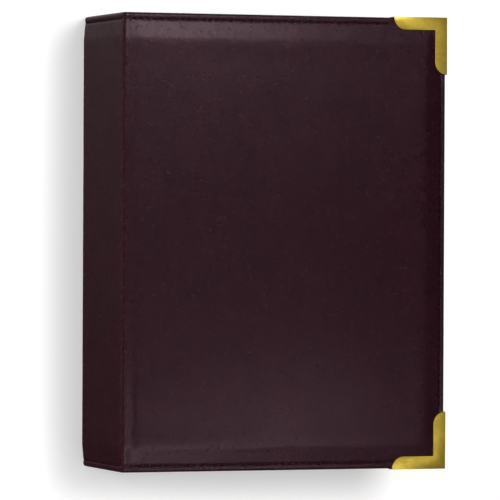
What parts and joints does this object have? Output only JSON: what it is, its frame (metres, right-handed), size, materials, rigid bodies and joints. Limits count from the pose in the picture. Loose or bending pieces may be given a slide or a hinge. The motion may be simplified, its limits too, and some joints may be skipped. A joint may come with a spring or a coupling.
{
  "type": "ring coin album",
  "caption": "Padded leatherette ring album with brass corners; covers open flat, rings open by end levers, and clear pocket leaves turn.",
  "frame": {"origin": "centre of the bounding box, on the outer face of the back cover", "axes": "+X from the spine to the fore-edge, +Y from foot to head, +Z from the back cover up to the front cover"},
  "size_m": [0.1826, 0.241, 0.068],
  "materials": {
    "leatherette": "fine pebble grain, satin",
    "lining": "smooth matt vinyl",
    "thread": "twisted polyester",
    "brass": "satin, lightly worn",
    "nickel_plate": "nickel plated, polished",
    "board": "grey board",
    "padding": "polyurethane foam sheet",
    "pocket_film": "clear film, welded",
    "card": "black card"
  },
  "bodies": {
    "back_cover": {"back_board": "board", "back_padding": "padding", "back_skin": "leatherette", "back_lining": "lining", "back_thread": "thread", "back_corner_top": "brass", "back_corner_bottom": "brass", "back_hinge_strip": "leatherette", "back_hinge_liner": "lining", "ring_housing": "nickel_plate", "fixed_blade": "nickel_plate", "fixed_ring_halves": "nickel_plate", "housing_rivets": "nickel_plate", "lever_pins": "nickel_plate", "leaf_07_pockets": "pocket_film", "leaf_07_card": "card", "leaf_08_pockets": "pocket_film", "leaf_08_card": "card", "leaf_09_pockets": "pocket_film", "leaf_09_card": "card", "leaf_10_pockets": "pocket_film", "leaf_10_card": "card", "leaf_11_pockets": "pocket_film", "leaf_11_card": "card", "leaf_12_pockets": "pocket_film", "leaf_12_card": "card"},
    "spine": {"spine_board": "board", "spine_padding": "padding", "spine_skin": "leatherette", "spine_lining": "lining", "spine_thread": "thread", "front_hinge_strip": "leatherette", "front_hinge_liner": "lining"},
    "front_cover": {"front_board": "board", "front_padding": "padding", "front_skin": "leatherette", "front_lining": "lining", "front_thread": "thread", "front_corner_top": "brass", "front_corner_bottom": "brass"},
    "ring_arms": {"moving_blade": "nickel_plate", "moving_ring_halves": "nickel_plate"},
    "top_lever": {"top_lever": "nickel_plate"},
    "bottom_lever": {"bottom_lever": "nickel_plate"},
    "leaf_01": {"leaf_01_pockets": "pocket_film", "leaf_01_card": "card"},
    "leaf_02": {"leaf_02_pockets": "pocket_film", "leaf_02_card": "card"},
    "leaf_03": {"leaf_03_pockets": "pocket_film", "leaf_03_card": "card"},
    "leaf_04": {"leaf_04_pockets": "pocket_film", "leaf_04_card": "card"},
    "leaf_05": {"leaf_05_pockets": "pocket_film", "leaf_05_card": "card"},
    "leaf_06": {"leaf_06_pockets": "pocket_film", "leaf_06_card": "card"}
  },
  "joints": [
    {"name": "spine_hinge", "type": "hinge", "parent": "back_cover", "child": "spine", "pos_m": [-0.09125, 0, 0], "axis": [0, -1, 0], "range_deg": [0, 90]},
    {"name": "front_cover_hinge", "type": "hinge", "parent": "spine", "child": "front_cover", "pos_m": [-0.09125, 0, 0.068], "axis": [0, -1, 0], "range_deg": [0, 90]},
    {"name": "ring_arms_hinge", "type": "hinge", "parent": "back_cover", "child": "ring_arms", "pos_m": [-0.07025, 0, 0.0074], "axis": [0, -1, 0], "range_deg": [0, 8]},
    {"name": "top_lever_pivot", "type": "hinge", "parent": "back_cover", "child": "top_lever", "pos_m": [-0.05625, 0.1096, 0.0074], "axis": [-1, 0, 0], "range_deg": [0, 22]},
    {"name": "bottom_lever_pivot", "type": "hinge", "parent": "back_cover", "child": "bottom_lever", "pos_m": [-0.05625, -0.1096, 0.0074], "axis": [1, 0, 0], "range_deg": [0, 22]},
    {"name": "leaf_01_turn", "type": "hinge", "parent": "back_cover", "child": "leaf_01", "pos_m": [-0.05625, 0, 0.0292], "axis": [0, -1, 0], "range_deg": [0, 185.6]},
    {"name": "leaf_02_turn", "type": "hinge", "parent": "back_cover", "child": "leaf_02", "pos_m": [-0.05625, 0, 0.0292], "axis": [0, -1, 0], "range_deg": [0, 183.8]},
    {"name": "leaf_03_turn", "type": "hinge", "parent": "back_cover", "child": "leaf_03", "pos_m": [-0.05625, 0, 0.0292], "axis": [0, -1, 0], "range_deg": [0, 182]},
    {"name": "leaf_04_turn", "type": "hinge", "parent": "back_cover", "child": "leaf_04", "pos_m": [-0.05625, 0, 0.0292], "axis": [0, -1, 0], "range_deg": [0, 180.2]},
    {"name": "leaf_05_turn", "type": "hinge", "parent": "back_cover", "child": "leaf_05", "pos_m": [-0.05625, 0, 0.0292], "axis": [0, -1, 0], "range_deg": [0, 178.4]},
    {"name": "leaf_06_turn", "type": "hinge", "parent": "back_cover", "child": "leaf_06", "pos_m": [-0.05625, 0, 0.0292], "axis": [0, -1, 0], "range_deg": [0, 176.6]}
  ],
  "couplings": [
    {"joint": "front_cover_hinge", "follows": "spine_hinge", "ratio": 1},
    {"joint": "top_lever_pivot", "follows": "ring_arms_hinge", "ratio": 2.75},
    {"joint": "bottom_lever_pivot", "follows": "ring_arms_hinge", "ratio": 2.75},
    {"joint": "leaf_01_turn", "follows": "spine_hinge", "ratio": 2.06},
    {"joint": "leaf_02_turn", "follows": "spine_hinge", "ratio": 2.04},
    {"joint": "leaf_03_turn", "follows": "spine_hinge", "ratio": 2.02},
    {"joint": "leaf_04_turn", "follows": "spine_hinge", "ratio": 2},
    {"joint": "leaf_05_turn", "follows": "spine_hinge", "ratio": 1.98},
    {"joint": "leaf_06_turn", "follows": "spine_hinge", "ratio": 1.96}
  ]
}
